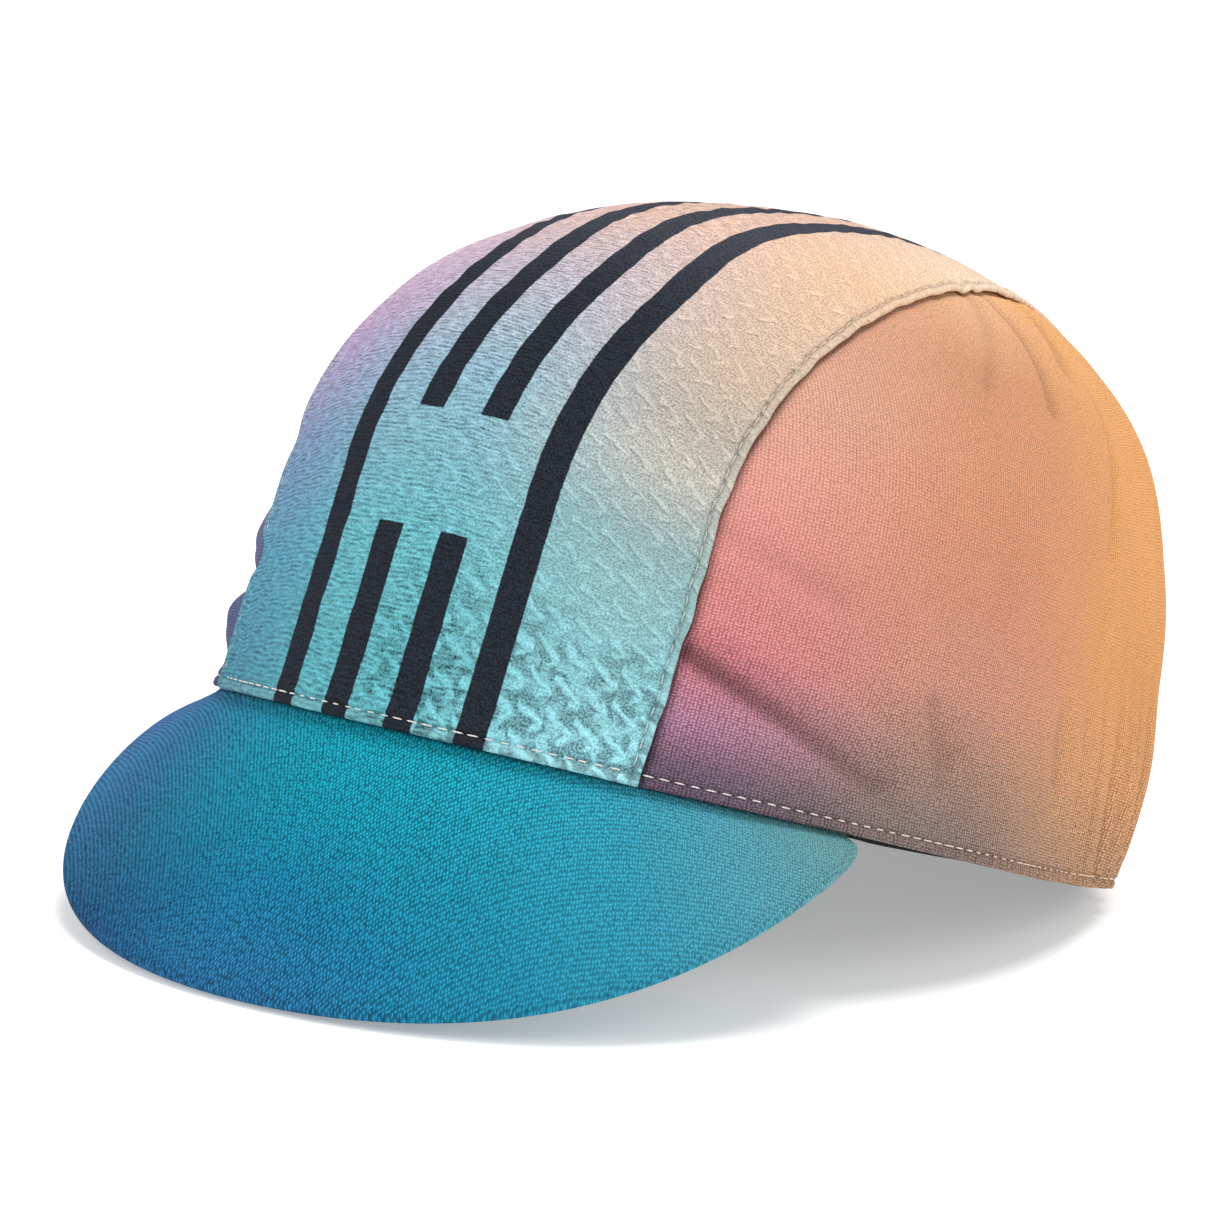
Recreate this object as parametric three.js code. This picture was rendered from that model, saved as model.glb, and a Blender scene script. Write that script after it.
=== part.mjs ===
// A soft cycling cap standing on its peak and the back of its rim.
// Millimetres, +Z up, the peak towards -Y, the wearer's left towards +X.
import * as THREE from "three";
import { mergeVertices } from "three/addons/utils/BufferGeometryUtils.js";

const degrees = Math.PI / 180;

// The dome of the crown, measured from the plane of its rim.
const crown = {
  halfWidth: 80.2,
  frontReach: 93.5,
  backReach: 103.6,
  widestHeight: 44.3,
  frontRise: 69.0,
  backRise: 71.5,
  wallReach: 425,
  roundness: 2.06,
  wall: 1.6,
};

// How the dome leans and swells away from an even shape.
const lean = {
  backWiden: 0.055,
  topShift: 0.088,
  backLift: 0.044,
  hemFlare: 0.028,
  backFlare: 2.4,
  sidePinch: 0.1,
  pinchPlace: 37,
  pinchSpread: 37,
  pinchHeight: 42,
};

// The rim hangs a little at the front, rises towards the back and is pressed flat where it rests.
const rim = { frontDrop: 2.2, backRise: 4.4, bend: 1.3, restPlace: 0.82 };

// Half the width of the centre panel, from the front of the rim over the top to its back.
const centrePanelWidth = 54.3;
const centrePanelTable = [
  { along: 0, share: 1 },
  { along: 0.2, share: 0.963 },
  { along: 0.4, share: 0.858 },
  { along: 0.6, share: 0.68 },
  { along: 0.8, share: 0.6 },
  { along: 1, share: 0.7 },
];

// The peak hangs from the front of the rim.
const peak = {
  halfAngle: 62.2,
  reach: 77.9,
  squareness: 1.47,
  flare: 14.9,
  fall: 0.137,
  dip: 42.4,
  sideDip: 6,
  cornerDepth: 1.4,
  camber: 1.6,
  thickness: 2.4,
  rootInset: 0.7,
};

const sweatband = { height: 27, thickness: 1.2, ease: 0.2, showing: 1.3, backTuck: 1.5 };

const clearance = 0.3;

// Gathers where the elastic draws the back of the hem in.
const gather = { depth: 0.8, spacing: 11, reach: 46, startAngle: 112, fullAngle: 150 };

// Creases and puckers of the cloth, from one end to the other.
// Angles in degrees around from the front, heights as shares of the dome's height,
// depths and widths as shares of the two sizes named here, and outward folds below zero.
const foldDepth = 2;
const foldWidth = 8;
const foldLeftAtHem = 0.3;
const foldTable = [
  { name: "diagonal crease", angleA: 50, heightA: 0.34, angleB: 84, heightB: 0.07, depth: 0.7, width: 0.8 },
  { name: "ridge above it", angleA: 54, heightA: 0.42, angleB: 90, heightB: 0.17, depth: -0.45, width: 0.9 },
  { name: "upright fold", angleA: 100, heightA: 0.34, angleB: 96, heightB: 0.06, depth: 0.4, width: 0.9 },
  { name: "front pleat", angleA: 96, heightA: 0.9, angleB: 97, heightB: 0.62, depth: 0.45, width: 0.6 },
  { name: "middle pleat", angleA: 112, heightA: 0.9, angleB: 108, heightB: 0.58, depth: 0.55, width: 0.6 },
  { name: "back pleat", angleA: 128, heightA: 0.88, angleB: 118, heightB: 0.55, depth: 0.45, width: 0.6 },
  { name: "upper pucker", angleA: 50, heightA: 0.56, angleB: 66, heightB: 0.5, depth: -0.5, width: 1 },
  { name: "lower pucker", angleA: 46, heightA: 0.3, angleB: 60, heightB: 0.22, depth: -0.4, width: 1 },
];

// Steps of the meshes, along and across each piece.
const steps = {
  along: 40,
  across: 20,
  around: 60,
  down: 11,
  peakAround: 32,
  peakOut: 7,
  band: 88,
  bandUp: 4,
};

const mix = (a, b, share) => a + (b - a) * share;
const clamp = (value, low, high) => Math.min(high, Math.max(low, value));
const smooth = (value) => clamp(value, 0, 1) ** 2 * (3 - 2 * clamp(value, 0, 1));

// A value of a table of rows { along, share }, read on a smooth curve.
function readTable(table, along) {
  const points = table.map((row) => new THREE.Vector2(row.along, row.share));
  return new THREE.SplineCurve(points).getPoint(clamp(along, 0, 1)).y;
}

// The point of the dome that lies in a direction from its middle.
function domePoint(direction) {
  const { x, y, z } = direction;
  const backness = 0.5 * (1 + y / Math.hypot(x, y, 1e-6));
  const reach = y < 0 ? crown.frontReach : crown.backReach;
  const rise = z < 0 ? crown.wallReach : mix(crown.frontRise, crown.backRise, backness);
  const power = crown.roundness;
  const size =
    (Math.abs(x) / crown.halfWidth) ** power + (Math.abs(y) / reach) ** power + (Math.abs(z) / rise) ** power;
  const even = direction.clone().multiplyScalar(size ** (-1 / power));
  const low = (Math.max(0, -even.z) / crown.widestHeight) ** 2;
  const pinch =
    lean.sidePinch *
    Math.exp(-((even.z / lean.pinchHeight) ** 2)) *
    Math.exp(-(((even.y - lean.pinchPlace) / lean.pinchSpread) ** 2));
  const widen = 1 + (lean.backWiden * even.y) / 100;
  const flare = 1 + lean.hemFlare * low * mix(0.4, 1, backness);
  return new THREE.Vector3(
    even.x * widen * flare * (1 - pinch),
    even.y + lean.topShift * even.z + lean.backFlare * low * backness ** 2,
    crown.widestHeight + even.z + (lean.backLift * even.y * Math.max(0, even.z)) / 100,
  );
}

// Directions by the angle along the panel and sideways from it, and by the angle around the rim.
const stripDirection = (along, aside) =>
  new THREE.Vector3(Math.sin(aside), -Math.cos(aside) * Math.cos(along), Math.cos(aside) * Math.sin(along));
const roundDirection = (around, up) =>
  new THREE.Vector3(Math.sin(around) * Math.cos(up), -Math.cos(around) * Math.cos(up), Math.sin(up));

const plainRimHeight = (y) => (y > 0 ? rim.backRise : -rim.frontDrop) * Math.abs(y / 100) ** rim.bend;

// The surface that the cap rests on, as a plane through the rim. Its slope is set by the finished peak.
const restPlane = { y: rim.restPlace * crown.backReach, z: 0, slope: 0 };
restPlane.z = plainRimHeight(restPlane.y);

function rimHeight(y) {
  const plain = plainRimHeight(y);
  return y > restPlane.y ? Math.max(plain, restPlane.z + (y - restPlane.y) * restPlane.slope) : plain;
}

// The angle at which a curve of directions crosses the rim.
function crossRim(directionAt, lowest, highest, above = 0) {
  let low = lowest;
  let high = highest;
  for (let pass = 0; pass < 30; pass += 1) {
    const middle = (low + high) / 2;
    const point = domePoint(directionAt(middle));
    if (point.z > rimHeight(point.y) + above) high = middle;
    else low = middle;
  }
  return high;
}

// The direction in which the rim lies, or a height above it, at an angle around from the front.
function rimDirection(around, above = 0) {
  const up = crossRim((angle) => roundDirection(around, angle), -80 * degrees, 30 * degrees, above);
  return roundDirection(around, up);
}

// The sideways angle that lies a length of cloth aside of the middle line.
function asideAngle(along, length) {
  const step = 2 * degrees;
  let walked = 0;
  let last = domePoint(stripDirection(along, 0));
  for (let aside = step; aside < 85 * degrees; aside += step) {
    const next = domePoint(stripDirection(along, aside));
    const gone = next.distanceTo(last);
    if (walked + gone >= length) return aside - step + (step * (length - walked)) / gone;
    walked += gone;
    last = next;
  }
  return 85 * degrees;
}

// The direction of a point of the centre panel: along 0 to 1, aside a length with its sign.
function panelDirection(along, aside) {
  let angle = Math.abs(aside) / crown.halfWidth;
  let place = 0;
  for (let pass = 0; pass < 3; pass += 1) {
    const lateral = angle;
    const front = crossRim((turn) => stripDirection(turn, lateral), -80 * degrees, 10 * degrees);
    const back = crossRim((turn) => stripDirection(Math.PI - turn, lateral), -80 * degrees, 10 * degrees);
    place = mix(front, Math.PI - back, along);
    angle = asideAngle(place, Math.abs(aside));
  }
  return stripDirection(place, Math.sign(aside) * angle);
}

// The outward normal of the plain dome.
function domeNormal(direction) {
  const step = 0.5 * degrees;
  const sideways = new THREE.Vector3(-direction.y, direction.x, 0).normalize();
  if (sideways.lengthSq() < 0.5) sideways.set(1, 0, 0);
  const upwards = new THREE.Vector3().crossVectors(direction, sideways).normalize();
  const at = (axis, angle) => domePoint(direction.clone().applyAxisAngle(axis, angle));
  const first = at(sideways, step).sub(at(sideways, -step));
  const second = at(upwards, step).sub(at(upwards, -step));
  const normal = first.cross(second).normalize();
  return normal.dot(direction) < 0 ? normal.negate() : normal;
}

const domeTop = crown.widestHeight + Math.max(crown.frontRise, crown.backRise);

const aroundOf = (point) => Math.atan2(Math.abs(point.x), -point.y) / degrees;

// How far the creases and puckers stand out of the plain dome at a point of it.
function creasesAt(point) {
  const wide = Math.hypot(point.x, point.y) * degrees;
  const here = new THREE.Vector2(aroundOf(point) * wide, point.z);
  let out = 0;
  for (const fold of foldTable) {
    const start = new THREE.Vector2(fold.angleA * wide, fold.heightA * domeTop);
    const path = new THREE.Vector2(fold.angleB * wide, fold.heightB * domeTop).sub(start);
    const share = clamp(here.clone().sub(start).dot(path) / path.lengthSq(), 0, 1);
    const away = here.distanceTo(start.addScaledVector(path, share));
    out -= foldDepth * fold.depth * Math.exp(-((away / (foldWidth * fold.width)) ** 2));
  }
  return out * mix(foldLeftAtHem, 1, smooth(point.z / sweatband.height));
}

// How strongly the elastic gathers the cloth at a point, from 0 to 1.
function gatheredAt(point) {
  const drawn = smooth((aroundOf(point) - gather.startAngle) / (gather.fullAngle - gather.startAngle));
  return drawn * smooth(1 - point.z / gather.reach);
}

// A point of the cloth in a direction, at a depth below its outer face.
function clothPoint(direction, depth) {
  const base = domePoint(direction);
  const turns = (Math.atan2(base.x, -base.y) * crown.backReach) / gather.spacing;
  const wave = gather.depth * gatheredAt(base) * Math.cos(turns * 2 * Math.PI);
  return base.addScaledVector(domeNormal(direction), creasesAt(base) + wave - depth);
}

// A point of the sweatband, which follows the creases and clears the gathers.
function bandPoint(direction, depth) {
  const base = domePoint(direction);
  const cleared = gather.depth * gatheredAt(base) + sweatband.ease;
  return base.addScaledVector(domeNormal(direction), Math.min(0, creasesAt(base)) - cleared - depth);
}

// A closed sheet between two grids of points of one size, each a list of rows.
function sheetGeometry(outer, inner, closed = false) {
  const rows = outer.length;
  const columns = outer[0].length;
  const positions = [...outer.flat(), ...inner.flat()].flatMap((point) => point.toArray());
  const indices = [];
  const outerAt = (row, column) => (row % rows) * columns + column;
  const innerAt = (row, column) => rows * columns + outerAt(row, column);
  const quad = (a, b, c, d) => indices.push(a, b, c, a, c, d);
  const lastRow = closed ? rows : rows - 1;
  for (let row = 0; row < lastRow; row += 1) {
    const next = row + 1;
    for (let column = 0; column < columns - 1; column += 1) {
      const beside = column + 1;
      quad(outerAt(row, column), outerAt(next, column), outerAt(next, beside), outerAt(row, beside));
      quad(innerAt(row, column), innerAt(row, beside), innerAt(next, beside), innerAt(next, column));
    }
    quad(innerAt(row, 0), innerAt(next, 0), outerAt(next, 0), outerAt(row, 0));
    const last = columns - 1;
    quad(outerAt(row, last), outerAt(next, last), innerAt(next, last), innerAt(row, last));
  }
  for (let column = 0; column < columns - 1 && !closed; column += 1) {
    quad(outerAt(0, column), outerAt(0, column + 1), innerAt(0, column + 1), innerAt(0, column));
    const end = rows - 1;
    quad(innerAt(end, column), innerAt(end, column + 1), outerAt(end, column + 1), outerAt(end, column));
  }
  return tidyGeometry(positions, indices);
}

// One geometry with shared vertices, without the triangles that have shrunk to a line.
function tidyGeometry(positions, indices) {
  const raw = new THREE.BufferGeometry();
  raw.setAttribute("position", new THREE.Float32BufferAttribute(positions, 3));
  raw.setIndex(indices);
  const merged = mergeVertices(raw, 1e-3);
  const corners = merged.getIndex().array;
  const kept = [];
  for (let first = 0; first < corners.length; first += 3) {
    const [a, b, c] = corners.slice(first, first + 3);
    if (a !== b && b !== c && a !== c) kept.push(a, b, c);
  }
  merged.setIndex(kept);
  merged.computeVertexNormals();
  return merged;
}

// Rows of points from a function of two shares, each running from 0 to 1.
function grid(rowSteps, columnSteps, pointAt) {
  const rows = [];
  for (let row = 0; row <= rowSteps; row += 1) {
    const points = [];
    for (let column = 0; column <= columnSteps; column += 1) {
      points.push(pointAt(row / rowSteps, column / columnSteps));
    }
    rows.push(points);
  }
  return rows;
}

const seamAside = (along) => centrePanelWidth * readTable(centrePanelTable, along);

function centrePanelGeometry() {
  const directions = grid(steps.along, steps.across, (along, across) =>
    panelDirection(along, seamAside(along) * mix(-1, 1, across)),
  );
  const face = (depth) => directions.map((row) => row.map((direction) => clothPoint(direction, depth)));
  return sheetGeometry(face(crown.wall), face(0));
}

// The side panel fills the space between the seam and the rim.
function sidePanelGeometry(side) {
  const seam = [];
  for (let column = 0; column <= steps.around; column += 1) {
    const along = column / steps.around;
    seam.push(panelDirection(along, side * (seamAside(along) + clearance)));
  }
  const angleOf = (direction) => Math.atan2(direction.x, -direction.y);
  const startAngle = angleOf(seam[0]);
  const endAngle = angleOf(seam[steps.around]);
  const hem = seam.map((direction, column) => rimDirection(mix(startAngle, endAngle, column / steps.around)));
  hem[0] = seam[0];
  hem[steps.around] = seam[steps.around];
  const directions = grid(steps.around, steps.down, (around, down) => {
    const column = Math.round(around * steps.around);
    return seam[column].clone().lerp(hem[column], down).normalize();
  });
  const face = (depth) => directions.map((row) => row.map((direction) => clothPoint(direction, depth)));
  return side > 0 ? sheetGeometry(face(crown.wall), face(0)) : sheetGeometry(face(0), face(crown.wall));
}

// The root of the peak, just under the edge of the crown's wall.
function peakRoot(share) {
  const direction = rimDirection(peak.halfAngle * degrees * share);
  return clothPoint(direction, peak.rootInset).add(new THREE.Vector3(0, 0, -clearance));
}

// The outer edge of the peak, an arc that reaches forward and dips in the middle.
function peakEdge(share) {
  const corner = peakRoot(1);
  const turn = (share * Math.PI) / 2;
  const middle = Math.max(0, Math.cos(turn));
  const reach = peak.reach * middle ** peak.squareness;
  return new THREE.Vector3(
    corner.x * Math.sin(turn) + peak.flare * Math.sin(2 * turn),
    corner.y - reach,
    corner.z - peak.fall * reach - peak.dip * middle ** 2 - peak.sideDip * Math.sin(2 * turn) ** 2 -
      peak.cornerDepth * (1 - middle),
  );
}

// The upper face of the peak, slightly cambered between its root and its edge.
function peakTop(share, out) {
  const root = peakRoot(share);
  const edge = peakEdge(share);
  const length = root.distanceTo(edge);
  const bow = (peak.camber * 4 * out * (1 - out) * length) / peak.reach;
  const forwardAndUp = new THREE.Vector3(0, -1, 1).normalize();
  return root.lerp(edge, out).addScaledVector(forwardAndUp, bow);
}

function peakGeometry() {
  const top = grid(steps.peakAround, steps.peakOut, (around, out) => peakTop(mix(-1, 1, around), out));
  const under = top.map((row, rowIndex) =>
    row.map((point, column) => {
      const before = top[Math.max(0, rowIndex - 1)][column];
      const after = top[Math.min(steps.peakAround, rowIndex + 1)][column];
      const inwards = row[Math.max(0, column - 1)];
      const outwards = row[Math.min(steps.peakOut, column + 1)];
      const normal = after.clone().sub(before).cross(outwards.clone().sub(inwards)).normalize();
      if (normal.z > 0) normal.negate();
      return point.clone().addScaledVector(normal, peak.thickness);
    }),
  );
  return sheetGeometry(under, top);
}

// How far the sweatband hangs below the rim: it shows beside the peak and stops short at the back.
function bandDrop(direction) {
  const past = aroundOf(domePoint(direction)) - peak.halfAngle;
  const beside = smooth((past - 3) / 4) * (1 - smooth((past - 12) / 25));
  const backed = smooth((past - 38) / 40);
  return sweatband.showing * beside - sweatband.backTuck * Math.max(backed, 0.2);
}

function sweatbandGeometry() {
  const face = (depth) =>
    grid(steps.band - 1, steps.bandUp, (turn, up) => {
      const around = (turn * (1 - 1 / steps.band) * 2 - 1) * Math.PI;
      const drop = bandDrop(rimDirection(around));
      return bandPoint(rimDirection(around, mix(-drop, sweatband.height, up)), depth);
    });
  const outerDepth = crown.wall + clearance;
  return sheetGeometry(face(outerDepth), face(outerDepth + sweatband.thickness), true);
}

function material(color, roughness) {
  return new THREE.MeshStandardMaterial({ color, roughness, metalness: 0 });
}

function named(name, geometry, look) {
  const mesh = new THREE.Mesh(geometry, look);
  mesh.name = name;
  return mesh;
}

const peakMesh = named("peak", peakGeometry(), material(0x1d83a3, 0.85));

// The slope of the plane that touches both the peak and the back of the rim from below.
const peakPoints = peakMesh.geometry.getAttribute("position");
for (let index = 0; index < peakPoints.count; index += 1) {
  const slope = (restPlane.z - peakPoints.getZ(index)) / (restPlane.y - peakPoints.getY(index));
  restPlane.slope = Math.max(restPlane.slope, slope);
}

const sideCloth = material(0xc98d78, 0.95);
const pieces = new THREE.Group();
pieces.add(
  named("crown_centre_panel", centrePanelGeometry(), material(0x8fb9bb, 0.95)),
  named("crown_side_panel_left", sidePanelGeometry(1), sideCloth),
  named("crown_side_panel_right", sidePanelGeometry(-1), sideCloth),
  peakMesh,
  named("sweatband", sweatbandGeometry(), material(0x16171b, 0.95)),
);

// Stand the cap on that plane, with its origin below the middle of its box.
pieces.rotation.x = -Math.atan(restPlane.slope);
const cap = new THREE.Group();
cap.add(pieces);
const box = new THREE.Box3().setFromObject(cap, true);
const middle = box.getCenter(new THREE.Vector3());
pieces.position.set(-middle.x, -middle.y, -box.min.z);

export default cap;
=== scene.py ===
"""A soft cycling cap in Blender: sewn cloth panels, a covered peak, a sweatband and their stitches.

The shape is worked out in the cap's own frame: millimetres, the rim near z = 0, the peak
towards -Y and the wearer's left towards +X. The finished pieces are then stood on the floor.
"""

import math
from types import SimpleNamespace as Sizes

import bmesh
import bpy
import numpy as np
from mathutils import Matrix, Vector


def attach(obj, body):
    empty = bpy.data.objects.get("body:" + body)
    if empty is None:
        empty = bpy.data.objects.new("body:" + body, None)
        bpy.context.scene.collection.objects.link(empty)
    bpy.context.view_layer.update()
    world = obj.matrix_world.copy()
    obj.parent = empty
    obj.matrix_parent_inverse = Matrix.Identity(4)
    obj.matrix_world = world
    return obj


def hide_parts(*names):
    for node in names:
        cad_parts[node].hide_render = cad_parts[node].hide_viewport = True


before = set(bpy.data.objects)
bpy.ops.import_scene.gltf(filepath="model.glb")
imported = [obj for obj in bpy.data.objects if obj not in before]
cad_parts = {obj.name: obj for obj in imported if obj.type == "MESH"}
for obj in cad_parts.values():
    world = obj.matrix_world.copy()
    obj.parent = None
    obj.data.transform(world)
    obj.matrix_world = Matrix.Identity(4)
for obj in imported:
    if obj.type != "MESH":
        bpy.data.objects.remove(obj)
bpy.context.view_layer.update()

MM = 0.001
DEGREE = math.pi / 180
TURN = 2 * math.pi

# The camera, as the photograph saw the cap. Its image is 1226 by 1226 pixels.
view = Sizes(
    azimuth=34.46,
    elevation=9.95,
    roll=4.79,
    target=(0, 0.0229, 0.0741),
    distance=1.2129,
    image=1226,
    focal_pixels=6347,
    target_pixel=(730.8, 505.2),
    sensor=36,
)

# How the cap stands: leaned back about X, then moved.
stand = Sizes(tilt=-0.281164, forward=7.3705, up=20.3576)

# The dome of the crown, as in the solid model.
crown = Sizes(
    half_width=80.2,
    front_reach=93.5,
    back_reach=103.6,
    widest_height=44.3,
    front_rise=69.0,
    back_rise=71.5,
    wall_reach=425,
    roundness=2.06,
    wall=1.6,
    top_blend=0.03,
)

# How the dome leans and flares, and a shallow pinch on its sides behind the middle.
lean = Sizes(
    back_widen=0.055,
    top_shift=0.088,
    back_lift=0.044,
    hem_flare=0.028,
    front_flare=0.4,
    back_flare=2.4,
    side_pinch=0.1,
    pinch_place=37,
    pinch_spread=37,
    pinch_height=42,
)

# How the cloth fills out and draws in behind the sides.
swell = Sizes(place=138, spread=30, least_reach=20)
swell_table = [
    dict(height=28, spread=17, depth=3.0),
    dict(height=68, spread=18, depth=-1.5),
    dict(height=2, spread=6, depth=-1.7),
]
rim = Sizes(front_drop=2.2, back_rise=4.4, bend=1.3, rest_place=0.82)

# Shares and drops that grow with the distance from the middle are given at this length.
growth_length = 100

# Half the width of the centre panel at the front, and its shares from there over the top to the back.
centre_half_width = 54.3
centre_shares = (1, 0.963, 0.858, 0.68, 0.6, 0.7)
seam_waver_table = [dict(size=0.12, waves=23, phase=0), dict(size=0.09, waves=41, phase=1)]
peak = Sizes(
    half_angle=62.2,
    reach=77.9,
    squareness=1.47,
    flare=14.9,
    fall=0.137,
    dip=42.4,
    side_dip=6,
    corner_depth=1.4,
    camber=1.6,
    thickness=2.4,
    root_inset=0.7,
    hidden_inset=1.9,
    hidden_rise=0.8,
    hidden_width=0.9,
    end_share=0.978,
)
band = Sizes(height=27, thickness=1.2, ease=0.5, showing=0.1, front_drop=0.4, back_tuck=1.5)
clearance = 0.3

# The gathers of the elastic, which start and are full at these angles around from the front.
gather = Sizes(depth=1.1, reach=54, start=98, full=132, spacing=7.4)

# Creases and puckers, from one end to the other: angles around from the front in degrees,
# heights as shares of the dome's height, and depths and widths in millimetres.
fold_left_at_hem = 0.3
sunken_fade = 8
fold_table = [
    dict(name="diagonal crease", a=(33, 0.205), b=(60, 0.075), depth=2.3, width=2.7),
    dict(name="ridge above it", a=(35, 0.25), b=(62, 0.125), depth=-1.0, width=3.4),
    dict(name="soft crease", a=(33, 0.4), b=(50, 0.34), depth=0.7, width=3.6),
    dict(name="hem fold", a=(62, 0.09), b=(65, 0.03), depth=1.3, width=2.4),
    dict(name="upright fold", a=(67, 0.22), b=(69, 0.15), depth=0.9, width=3.2),
    dict(name="leaning fold", a=(72, 0.15), b=(70, 0.08), depth=1.0, width=3),
    dict(name="back fold", a=(98, 0.26), b=(100, 0.12), depth=0.8, width=3.6),
    dict(name="front pleat", a=(88, 0.91), b=(73, 0.74), depth=0.85, width=2.2),
    dict(name="middle pleat", a=(97, 0.9), b=(91, 0.74), depth=1.2, width=2.2),
    dict(name="back pleat", a=(118, 0.9), b=(106, 0.82), depth=1.1, width=2.2),
    dict(name="long pleat", a=(113, 0.8), b=(107, 0.55), depth=0.8, width=2.2),
]

# The wearer's right side sinks in behind its seam, apart from two puffs.
right_table = [
    dict(name="sunken edge", a=(41, 0.02), b=(44, 0.6), depth=1.7, width=8),
    dict(name="sunken side", a=(51, 0.02), b=(54, 0.6), depth=3.0, width=11),
    dict(name="upper puff", a=(41, 0.26), b=(45, 0.235), depth=-1.9, width=5.4),
    dict(name="lower puff", a=(40, 0.11), b=(44, 0.085), depth=-3.2, width=5.2),
]

# The cloth, its slack behind the sides, its rolled edges, and the threads that hold them.
cloth = Sizes(thickness=1.2, under_seam=3.5, tuck=0.9, tuck_width=2.4, calm_edge=6)
slack = Sizes(depth=0.3, start=84, spread=30)
seam_roll = Sizes(height=0.8, width=1.8, groove=0.5)
hem_roll = Sizes(height=0.4, width=2.1, groove=0.4)
peak_roll = Sizes(height=0.2, width=2.2, groove=0.25)
hem_pucker = Sizes(depth=0.22, place=1.3, width=1.6)
turned_edge = 3
stitch = Sizes(length=2.5, pitch=3.0, radius=0.15, pressed_width=0.45, sides=6, rings=6)
unevenness = Sizes(slant=0.06, shortest=0.85, longest=1.1)

# Millimetres for each radian around and up, by which places are counted, and the middle of a side.
side_scale = Sizes(around=92, up=75, middle=145)

# How many points the sheets have along their lengths, and between their crowded edges.
panel_grid = Sizes(rows=250, columns=66, seam_points=281, depth_points=61)
peak_grid = Sizes(points=201, columns=44)
band_grid = Sizes(points=360, rows=14)


def mix(a, b, share):
    """A value between a and b."""
    return a + (b - a) * share


def smooth(value):
    """0 below 0, 1 above 1, and a smooth rise in between."""
    value = np.clip(value, 0, 1)
    return value * value * (3 - 2 * value)


def unit(vectors):
    """The same directions, each 1 long."""
    return vectors / np.maximum(np.linalg.norm(vectors, axis=-1, keepdims=True), 1e-12)


def together(*coordinates):
    """Points, or places on the cloth, made of their coordinates."""
    return np.stack(np.broadcast_arrays(*coordinates), axis=-1)


def bell(distance, width):
    """1 at no distance, with a smooth fall on both sides that is this wide."""
    return np.exp(-((distance / width) ** 2))


def turn_of(point):
    """The angle around from the front in radians, positive on the wearer's left."""
    return np.arctan2(point[..., 0], -point[..., 1])


def around_of(point):
    """The angle around from the front in degrees, the same on both sides."""
    return np.abs(turn_of(point)) / DEGREE


def read_curve(shares, along):
    """A value of evenly spaced shares, read on a smooth curve."""
    shares = np.asarray(shares, float)
    last = len(shares) - 1
    place = np.clip(along, 0, 1) * last
    first = np.minimum(place.astype(int), last - 1)
    step = place - first
    before, start, end, after = (shares[np.clip(first + i, 0, last)] for i in (-1, 0, 1, 2))
    slope_in = (end - before) / 2
    slope_out = (after - start) / 2
    cubic = 2 * (start - end) + slope_in + slope_out
    square = 3 * (end - start) - 2 * slope_in - slope_out
    return ((cubic * step + square) * step + slope_in) * step + start


def swelled(point):
    """A point of the even dome, moved out or in where the cloth swells behind the sides."""
    x, y, z = np.moveaxis(point, -1, 0)
    behind = bell(around_of(point) - swell.place, swell.spread)
    out = behind * sum(row["depth"] * bell(z - row["height"], row["spread"]) for row in swell_table)
    share = 1 + out / np.maximum(np.hypot(x, y), swell.least_reach)
    return together(x * share, y * share, z)


def dome_point(direction):
    """The point of the dome that lies in a direction from its middle."""
    x, y, z = np.moveaxis(direction, -1, 0)
    backness = 0.5 * (1 + y / np.sqrt(x * x + y * y + crown.top_blend))
    reach = np.where(y < 0, crown.front_reach, crown.back_reach)
    rise = np.where(z < 0, crown.wall_reach, mix(crown.front_rise, crown.back_rise, backness))
    power = crown.roundness
    size = np.abs(x / crown.half_width) ** power + np.abs(y / reach) ** power + np.abs(z / rise) ** power
    x, y, z = np.moveaxis(direction * (size ** (-1 / power))[..., None], -1, 0)
    low = (np.maximum(0, -z) / crown.widest_height) ** 2
    pinch = lean.side_pinch * bell(z, lean.pinch_height) * bell(y - lean.pinch_place, lean.pinch_spread)
    widen = 1 + lean.back_widen * y / growth_length
    flare = 1 + lean.hem_flare * low * mix(lean.front_flare, 1, backness)
    even = together(
        x * widen * flare * (1 - pinch),
        y + lean.top_shift * z + lean.back_flare * low * backness**2,
        crown.widest_height + z + lean.back_lift * y * np.maximum(0, z) / growth_length,
    )
    return swelled(even)


def dome_normal(direction):
    """The outward normal of the plain dome."""
    step = 0.5 * DEGREE
    x, y, _ = np.moveaxis(direction, -1, 0)
    sideways = unit(together(-y, x + 1e-9, 0.0))
    upwards = unit(np.cross(direction, sideways))

    def turned(towards, angle):
        return dome_point(direction * math.cos(angle) + towards * math.sin(angle))

    first, second = (turned(way, step) - turned(way, -step) for way in (upwards, sideways))
    normal = unit(np.cross(first, second))
    facing = np.sum(normal * direction, axis=-1, keepdims=True)
    return np.where(facing < 0, -normal, normal)


def strip_direction(along, aside):
    """A direction by the angle along the centre panel and sideways from it."""
    return together(np.sin(aside), -np.cos(aside) * np.cos(along), np.cos(aside) * np.sin(along))


def round_direction(around, up):
    """A direction by the angle around from the front and up from the widest line."""
    return together(np.sin(around) * np.cos(up), -np.cos(around) * np.cos(up), np.sin(up))


def plain_rim_height(y):
    """The height of the rim before it is pressed flat."""
    return np.where(y > 0, rim.back_rise, -rim.front_drop) * np.abs(y / growth_length) ** rim.bend


rest_y = rim.rest_place * crown.back_reach
rest_z = float(plain_rim_height(np.array(rest_y)))


def rim_height(y):
    """The height of the rim, which is pressed flat where the cap rests."""
    plain = plain_rim_height(y)
    pressed = rest_z - (y - rest_y) * math.tan(stand.tilt)
    return np.where(y > rest_y, np.maximum(plain, pressed), plain)


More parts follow.
